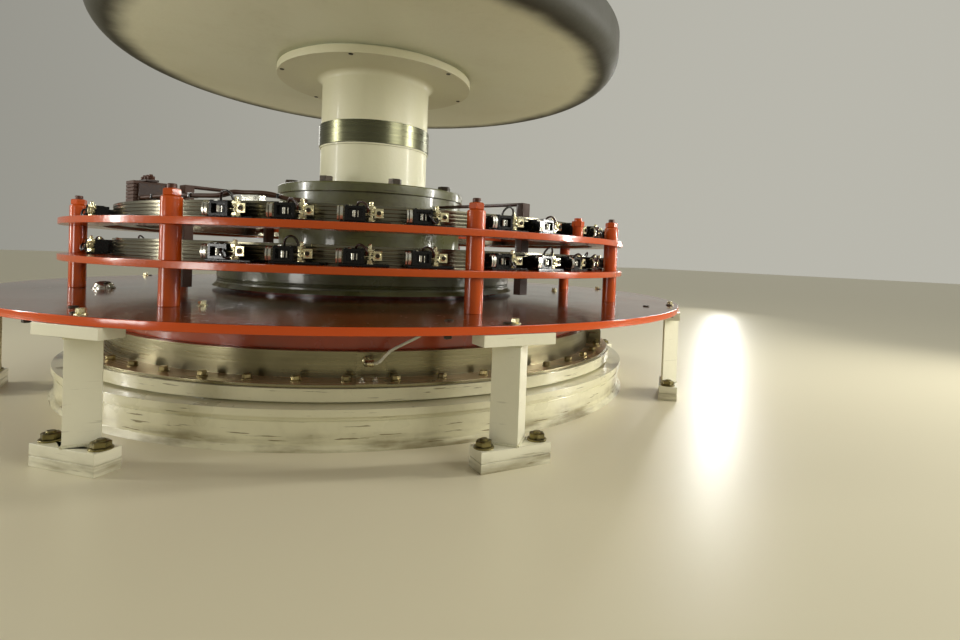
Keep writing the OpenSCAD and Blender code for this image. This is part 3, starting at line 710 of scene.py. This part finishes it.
def slotted_screw(radius, height):
    slot = 0.12 * radius
    head = turned_piece([(0, 0), (radius, 0), (radius, height * 0.6), (radius * 0.8, height),
                         (0, height)], 20)
    bpy.ops.object.mode_set(mode="EDIT")
    for offset in (-slot, slot):
        bpy.ops.mesh.select_all(action="SELECT")
        bpy.ops.mesh.bisect(plane_co=(0, offset, 0), plane_no=(0, 1, 0))
    bpy.ops.object.mode_set(mode="OBJECT")
    pick_faces(head, lambda face: face.normal.z > 0.7 and abs(face.center.y) < slot)
    extrude(0, 0, -height * 0.45)
    bpy.ops.object.mode_set(mode="OBJECT")
    return head


screw_places = ([at(a - 0.8, 1.287, TABLE_TOP) @ spun(i * 0.8) for i, a in enumerate(BEARINGS)]
                + [at(a, r, TABLE_TOP) for a, r in ((-6.5, 1.213), (38.5, 1.213), (101.7, 1.297),
                                                    (-51.5, 1.213))])
finished("table_screws", copies(slotted_screw(0.0115, 0.004), screw_places),
         "dark_bolts", "stand")
upside_down = Matrix.Rotation(math.pi, 4, "X")
under_places = [at(a, r, TABLE_UNDERSIDE) @ upside_down for a, r in
                ((-7.8, 1.305), (-11, 1.248), (7.5, 1.248), (-52, 1.305), (37, 1.305),
                 (128, 1.305), (217, 1.305))]
finished("under_bolts", copies(nut(0.017, 0.009), under_places),
         "dark_bolts", "stand")

# %% [markdown]
# A post is a threaded rod. Painted sleeves on it hold the two ring plates apart, and a painted nut
# with the rod's dark end above it clamps the stack. The sleeves' shoulders are rounded, so each
# outline has three short steps there. Eight such posts stand round the table, and their nuts are
# turned a little from one to the next.

# %% Posts
SLEEVE_R = 0.0265
POST_TOP = 0.638
SHOULDERS = (0.0015, 0.0015, 0.005)


def sleeve(low, high, shoulder):
    soft = [(SLEEVE_R - shoulder * (1 - math.sin(t)), high - shoulder * (1 - math.cos(t)))
            for t in (math.radians(90), math.radians(60), math.radians(30), 0)]
    return turned_piece([(0, low), (SLEEVE_R - 0.001, low), (SLEEVE_R, low + 0.001)] + soft
                        + [(0, high)], 40)


spans = ((TABLE_TOP, LOW_PLATE[0]), (LOW_PLATE[1], HIGH_PLATE[0]), (HIGH_PLATE[1], POST_TOP))
for i, a in enumerate(BEARINGS):
    post_nut = moved(nut(0.041, 0.0205), Matrix.Translation((0, 0, POST_TOP)) @ spun(0.5 * i))
    sleeves = [sleeve(low, high, shoulder) for (low, high), shoulder in zip(spans, SHOULDERS)]
    pattern = joined(sleeves + [post_nut])
    finished("post_%d_sleeves" % (i + 1), copies(pattern, [at(a, POST_RADIUS, 0)]),
             "orange_red_paint", "stand", ["post_%d" % (i + 1)])
rod_end = turned_piece([(0, 0.657), (0.0122, 0.657), (0.0122, 0.669), (0.0105, 0.671),
                        (0, 0.671)], 24)
finished("post_rods", copies(rod_end, [at(a, POST_RADIUS, 0) for a in BEARINGS]),
         "rod_brown", "stand")

# %% [markdown]
# A brush holder is a black moulded foot with a box for the brush. The box's front has a window with
# the rolled spring that presses the brush. A bright leaf clip stands at the left. At the right, a
# brass stud takes the brush's flexible lead and a square lug with a dark screw. One holder is
# modelled at the origin, with X along the ring and Y towards it, and it is copied to 29 places on
# each of two decks: four to a bay, and one alone in the bay that is almost bare.

# %% The holder's moulding
BARE_BAY = 6
holder_angles = [a + 8 + 10.2 * k for bay, a in enumerate(BEARINGS) for k in range(4)
                 if bay != BARE_BAY or k == 0]
holder_places = {deck: [at(a, HOLDER_RADIUS, plate[1]) for a in holder_angles]
                 for deck, plate in (("upper", HIGH_PLATE), ("lower", LOW_PLATE))}


def brush_box():
    box = block((-0.055, 0, 0.008), (-0.001, 0.064, 0.048))
    for normal, inset, depth in (((0, -1, 0), 0.007, (0, 0.0115, 0)),
                                 ((0, 0, 1), 0.006, (0, 0, -0.002))):
        pick_faces(box, lambda face: face.normal.dot(Vector(normal)) > 0.9)
        bpy.ops.mesh.inset(thickness=inset)
        extrude(*depth)
        bpy.ops.object.mode_set(mode="OBJECT")
    edge = box.modifiers.new("edges", "BEVEL")
    edge.width, edge.segments, edge.limit_method = 0.0012, 2, "ANGLE"
    bpy.ops.object.modifier_apply(modifier=edge.name)
    return box


for deck, places in holder_places.items():
    ribs = [block((x, 0.0, 0.044), (x + 0.004, 0.05, 0.0505), 0.0008, 1) for x in (-0.052, -0.008)]
    foot = block((-0.067, 0.004, 0), (0.067, 0.060, 0.008), 0.0018)
    finished("holders_" + deck, copies(joined([foot, brush_box()] + ribs), places),
             "holder_black", "stand", ["brush_holders_" + deck])

# %% [markdown]
# The clip is a pair of spring steel leaves that bow outwards and curl at the top, so they catch
# bright upright highlights. The rolled spring in the window shows as one upright turn with its
# leaf beside it.

# %% Clips and springs
CLIP_PATH = [(0.022, 0.0092), (0.004, 0.0092), (0.0005, 0.0115), (-0.0022, 0.020),
             (-0.0028, 0.028), (-0.0016, 0.037), (0.0012, 0.0435), (0.0062, 0.0465),
             (0.0105, 0.0445), (0.011, 0.041)]
SHELF_PATH = [(0.055, 0.0505), (0.012, 0.0505), (0.004, 0.0480), (0.0025, 0.043)]
ROLL_OUTLINE = [(0, 0.0175), (0.0042, 0.0175), (0.0052, 0.0185), (0.0052, 0.0355),
                (0.0042, 0.0365), (0, 0.0365)]
LEAVES = ((-0.074, -0.0695), (-0.0665, -0.059))
for deck, places in holder_places.items():
    roll = moved(turned_piece(ROLL_OUTLINE, 14), Matrix.Translation((-0.031, 0.0062, 0)))
    tongue = block((-0.0215, 0.0035, 0.018), (-0.0185, 0.0065, 0.036), 0.0005, 1)
    shelf = bent_strip(SHELF_PATH, -0.044, -0.036, 0.0012)
    leaves = [bent_strip(CLIP_PATH, left, right, 0.0016) for left, right in LEAVES]
    finished("springs_" + deck, copies(joined(leaves + [roll, tongue, shelf]), places),
             "bright_steel", "stand")

# %% [markdown]
# The brass stud carries, from its foot up, a nut, ring terminals, a second nut and its rounded
# end. The lug is a bent tab whose square plate faces outwards, with a dark slotted screw in a
# bright cup washer at its middle.

# %% Studs and lugs
STUD = Matrix.Translation((0.014, 0.016, 0))
SHANK_OUTLINE = [(0, 0.008), (0.0058, 0.008), (0.0058, 0.058), (0.004, 0.0615), (0, 0.0625)]
TERMINALS = (0.0235, 0.0275, 0.0345)
TAB_PATH = [(0.022, 0.0305), (0.010, 0.0305), (0.0068, 0.0285), (0.0060, 0.024)]
CUP_OUTLINE = [(0, 0), (0.0092, 0), (0.0085, 0.0014), (0.0068, 0.0022), (0, 0.0022)]
facing_out = Matrix.Rotation(math.pi / 2, 4, "X")
for deck, places in holder_places.items():
    shank = turned_piece(SHANK_OUTLINE, 14)
    nuts = [moved(nut(0.020, 0.009, washer=0.0125), Matrix.Translation((0, 0, z)))
            for z in (0.0082, 0.0385)]
    rings = [turned_piece([(0, z), (0.0112, z), (0.0112, z + 0.0016), (0, z + 0.0016)], 18)
             for z in TERMINALS]
    tails = [block((-0.022, -0.0035, 0.0235), (-0.008, 0.0035, 0.0255), 0.0006, 1),
             block((-0.018, -0.0105, 0.0275), (-0.006, -0.0035, 0.0295), 0.0006, 1)]
    stud = moved(joined([shank] + nuts + rings + tails), STUD)
    tab = bent_strip(TAB_PATH, 0.016, 0.034, 0.002)
    face_plate = block((0.0225, 0.0050, 0.0175), (0.0465, 0.0078, 0.0435), 0.0007, 1)
    cup = moved(turned_piece(CUP_OUTLINE, 20),
                Matrix.Translation((0.0345, 0.0050, 0.0305)) @ facing_out)
    finished("studs_" + deck, copies(joined([stud, tab, face_plate, cup]), places),
             "brass", "stand")
    screw = moved(slotted_screw(0.0062, 0.0045),
                  Matrix.Translation((0.0345, 0.0030, 0.0305)) @ facing_out @ spun(0.6))
    finished("lug_screws_" + deck, copies(screw, places), "dark_bolts", "stand")

# %% [markdown]
# The brushes' flexible leads differ from holder to holder, because each was bent by hand. Three
# shapes are enough: a high arch over the box, a low arch, and a loop that hangs in front. They
# follow one another in a round of five that starts elsewhere on the lower deck.

# %% Flexible leads
LEAD_RADIUS = 0.0032
LEADS = {
    "high": ([(-0.030, 0.016, 0.047), (-0.029, 0.012, 0.060), (-0.021, 0.006, 0.072),
              (-0.008, 0.004, 0.0755), (0.003, 0.006, 0.068), (0.008, 0.011, 0.053),
              (0.005, 0.014, 0.037), (0.002, 0.016, 0.029)], "cable_black"),
    "low": ([(-0.024, 0.020, 0.047), (-0.021, 0.012, 0.056), (-0.012, 0.004, 0.060),
             (0.000, 0.000, 0.053), (0.006, 0.000, 0.042), (0.005, 0.006, 0.033),
             (0.002, 0.012, 0.0285)], "cable_brown"),
    "front": ([(-0.018, 0.006, 0.034), (-0.013, -0.006, 0.034), (-0.007, -0.011, 0.024),
               (0.000, -0.011, 0.014), (0.008, -0.008, 0.012), (0.013, -0.003, 0.017),
               (0.012, 0.004, 0.0255)], "cable_black"),
}
LEAD_ROUND = ("high", "low", "front", "low", "front")
FIRST_OF_ROUND = {"upper": 0, "lower": 2}
for deck, places in holder_places.items():
    for kind, (route, finish) in LEADS.items():
        lead = tube("lead", smooth_line(route, 3), LEAD_RADIUS, 2)
        chosen = [place for n, place in enumerate(places)
                  if LEAD_ROUND[(n * 3 + FIRST_OF_ROUND[deck]) % 5] == kind]
        finished("leads_%s_%s" % (kind, deck), copies(lead, chosen), finish, "stand",
                 angle=80)

# %% [markdown]
# The field lead leaves a stack of copper layers, lies on the upper slip ring, climbs a bright steel
# block and goes down to the ring. The stack is clamped by a dark plate with bolts, and the lead is
# two taped cables side by side. All of it turns with the rotor.

# %% Field lead
STACK_BEARING = -67.5
FIELD_LEAD_RADIUS = 0.921
lead_start = RING_TOP + 0.013
lead_route = [(STACK_BEARING, lead_start, 0.0323), (STACK_BEARING, lead_start, 0.058),
              (-58, 0.655, 0), (-52, 0.656, 0), (-47, 0.655, 0), (-43.5, 0.6558, 0),
              (-40.5, 0.6658, 0), (-38.2, 0.6648, 0), (-35, 0.6648, 0), (-32.8, 0.6608, 0),
              (-30.6, 0.6508, 0), (-28.8, 0.6468, 0), (-27.2, 0.6468, 0)]
lead_line = smooth_line([spot(a, FIELD_LEAD_RADIUS, z, side) for a, z, side in lead_route], 4)


def inwards(point, shift):
    flat = Vector((point.x, point.y, 0.0)).normalized()
    return point - flat * shift


cables = [tube("cable", [inwards(p, shift) for p in lead_line], 0.0062, 3)
          for shift in (-0.0055, 0.0065)]
finished("field_lead", cables, "lead_insulation", "rotor", ["lead_strap"],
         angle=80)
steel_block = block((-0.026, -0.017, 0), (0.026, 0.017, 0.018), 0.0015)
finished("lead_block", copies(steel_block, [at(-36.6, FIELD_LEAD_RADIUS, RING_TOP)]),
         "bright_steel", "rotor")
tie = block((-0.004, -0.0155, -0.0072), (0.004, 0.0155, 0.0072), 0.002)
tie_places = [at(a, FIELD_LEAD_RADIUS - 0.0005, z) for a, z in
              ((-60.5, 0.6542), (-55, 0.6556), (-49.5, 0.6556), (-31.8, 0.6562))]
finished("lead_ties", copies(tie, tie_places), "cable_black", "rotor")
clamp = joined([block((0.0325, 0.012, 0.001), (0.043, 0.085, 0.058), 0.0015),
                block((-0.040, 0.030, 0.0660), (0.043, 0.068, 0.0725), 0.0012)])
finished("stack_clamp", copies(clamp, [at(STACK_BEARING, 0.948, RING_TOP)]), "sooty", "rotor")
stack_places = [at(STACK_BEARING, 0.899, RING_TOP + 0.0725, x) for x in (-0.022, 0.004, 0.030)]
finished("stack_bolts", copies(nut(0.019, 0.010, washer=0.012, stud=0.005), stack_places),
         "rod_brown", "rotor")

# %% [markdown]
# A few small things finish the turning end: countersunk screws near the shaft flange's rim, and
# the painted lips above and below the bright band on the shaft, where the paint was masked off.
# The lips start one millimetre inside the shaft, so no gap shows behind them.

# %% Shaft fittings
LIP_INSIDE = 0.2290
FLANGE_UNDERSIDE = 1.2495
flange_screw = turned_piece([(0, -0.003), (0.0070, -0.003), (0.0090, -0.001), (0.0090, 0.001),
                             (0, 0.001)], 16)
flange_places = [at(30 + 60 * i, 0.397, FLANGE_UNDERSIDE) for i in range(6)]
finished("flange_screws", copies(flange_screw, flange_places), "dark_bolts", "rotor")
lips = [turned_piece([(LIP_INSIDE, low), (0.2345, low + 0.0006), (0.2352, low + 0.003),
                      (0.2345, high - 0.0006), (LIP_INSIDE, high), (LIP_INSIDE, low)], 96)
        for low, high in ((0.947, 0.9548), (1.0462, 1.051))]
finished("band_lips", lips, "white_paint", "rotor")

# %% [markdown]
# Each leg is an angle bar welded to its foot and top block. A fillet weld is a bead with a wavy
# skin, which a tube along the bar's outline gives, and the weld finish adds the ripples.

# %% Weld beads
BAR_W = 0.072
BAR_T = 0.008
BAR_CORNER = -0.0315


def leg_outline(height):
    corners = [(0, 0), (BAR_W, 0), (BAR_W, BAR_T), (BAR_T, BAR_T), (BAR_T, BAR_W), (0, BAR_W),
               (0, 0)]
    return [Vector(((u - v) / math.sqrt(2), (u + v) / math.sqrt(2) + BAR_CORNER, height))
            for u, v in corners]


beads = joined([tube("bead", leg_outline(height), radius, 2)
                for height, radius in ((0.0535, 0.0042), (0.2958, 0.0032))])
finished("leg_welds", copies(beads, [at(a, LEG_RADIUS, 0) for a in BEARINGS]), "weld", "stand",
         angle=60)

# %% [markdown]
# The sensor's bracket is held by two small bolts. Its elbow is brass with a hexagon, and the hose
# goes on its ribbed end. A bright dome cap covers a hole in the table where no post stands.

# %% Sensor fittings and a cap
along_x = Matrix.Rotation(math.pi / 2, 4, "Y")
bracket_places = [at(SENSOR_BEARING, 1.034, 0.162, x) for x in (-0.024, 0.010)]
finished("bracket_bolts", copies(nut(0.013, 0.007, washer=0.0085, stud=0.002), bracket_places),
         "bright_steel", "stand")
elbow_line = [spot(SENSOR_BEARING, r, ELBOW_HEIGHT, x) for r, x in
              ((0.981, -0.014), (1.020, -0.014), (1.027, -0.0135), (ELBOW_RADIUS, -0.010),
               (ELBOW_RADIUS, 0.0045))]
elbow = tube("elbow", elbow_line, 0.0086, 4)
elbow_hex = copies(nut(0.021, 0.010),
                   [at(SENSOR_BEARING, 0.9845, ELBOW_HEIGHT, -0.014) @ facing_out])
rib = turned_piece([(0, 0), (0.0092, 0), (0.0098, 0.002), (0.0092, 0.004), (0, 0.004)], 20)
ribs = copies(rib, [at(SENSOR_BEARING, ELBOW_RADIUS, ELBOW_HEIGHT, x) @ along_x
                    for x in (-0.0035, 0.0008)])
finished("elbow", [elbow] + elbow_hex + ribs, "brass", "stand")
cap = turned_piece([(0, 0), (0.036, 0), (0.036, 0.004), (0.031, 0.006), (0.030, 0.014),
                    (0.025, 0.020), (0.015, 0.024), (0, 0.0255)], 32)
finished("dome_cap", copies(cap, [at(-87, 0.974, TABLE_TOP)]), "bright_steel", "stand")

# %% [markdown]
# The stage is a pale glossy floor. Tall narrow lamps at both sides draw long upright highlights on
# everything round, and wide soft ones stand in front and behind. A low lamp lights the end disc
# from below, and the world fills the shadows, more from the right.

# %% Floor and lamps
bpy.ops.object.select_all(action="DESELECT")
bpy.ops.mesh.primitive_plane_add(size=60.0)
floor = bpy.context.object
floor.name = "floor"
floor_paint = Surface("floor_paint", Roughness=0.38, Coat_Weight=0.15, Coat_Roughness=0.3,
                      Base_Color=screen(221, 213, 183))
floor.data.materials.append(floor_paint.material)

LAMP_COLOUR = (1.0, 0.98, 0.93)
HUB_MIDDLE = (0, 0, 0.6)
DISC_UNDERSIDE = (-0.3, 0.1, 1.4)


def lamp(name, place, size, power, spread=180, aim=HUB_MIDDLE):
    data = bpy.data.lights.new(name, "AREA")
    data.spread = math.radians(spread)
    data.shape, data.energy, data.color = "RECTANGLE", power, LAMP_COLOUR
    data.size, data.size_y = size
    made = bpy.data.objects.new(name, data)
    bpy.context.scene.collection.objects.link(made)
    made.location = place
    made.rotation_euler = (Vector(aim) - Vector(place)).to_track_quat("-Z", "Y").to_euler()
    made.visible_camera = False


lamp("lamp_right_near", (3.8, -2.3, 1.4), (0.2, 1.9), 44, spread=110)
lamp("lamp_right_far", (4.64, 1.93, 1.4), (0.2, 1.9), 15, spread=110)
lamp("lamp_left_far", (-4.05, 0.68, 1.4), (0.27, 1.9), 28, spread=110)
lamp("lamp_front", (2.2, -4.4, 2.2), (1.8, 1.6), 62)
lamp("lamp_back", (0.6, 4.4, 2.2), (2.6, 1.6), 45)
lamp("lamp_low", (-2.6, -1.3, 0.4), (0.5, 0.5), 5, spread=100, aim=DISC_UNDERSIDE)
world = bpy.data.worlds.new("studio")
bpy.context.scene.world = world
world.use_nodes = True
sky = world.node_tree
light_side = sky.nodes.new("ShaderNodeMapRange")
light_side.interpolation_type = "SMOOTHSTEP"
for socket, value in (("From Min", -0.7), ("From Max", 0.9), ("To Min", 0.30), ("To Max", 0.54)):
    light_side.inputs[socket].default_value = value
direction = sky.nodes.new("ShaderNodeSeparateXYZ")
sky.links.new(sky.nodes.new("ShaderNodeTexCoord").outputs["Generated"], direction.inputs[0])
sky.links.new(direction.outputs["X"], light_side.inputs["Value"])
sky.links.new(light_side.outputs["Result"], sky.nodes["Background"].inputs["Strength"])
sky.nodes["Background"].inputs["Color"].default_value = (0.90, 0.88, 0.77, 1)
bpy.context.scene.view_settings.view_transform = "Standard"
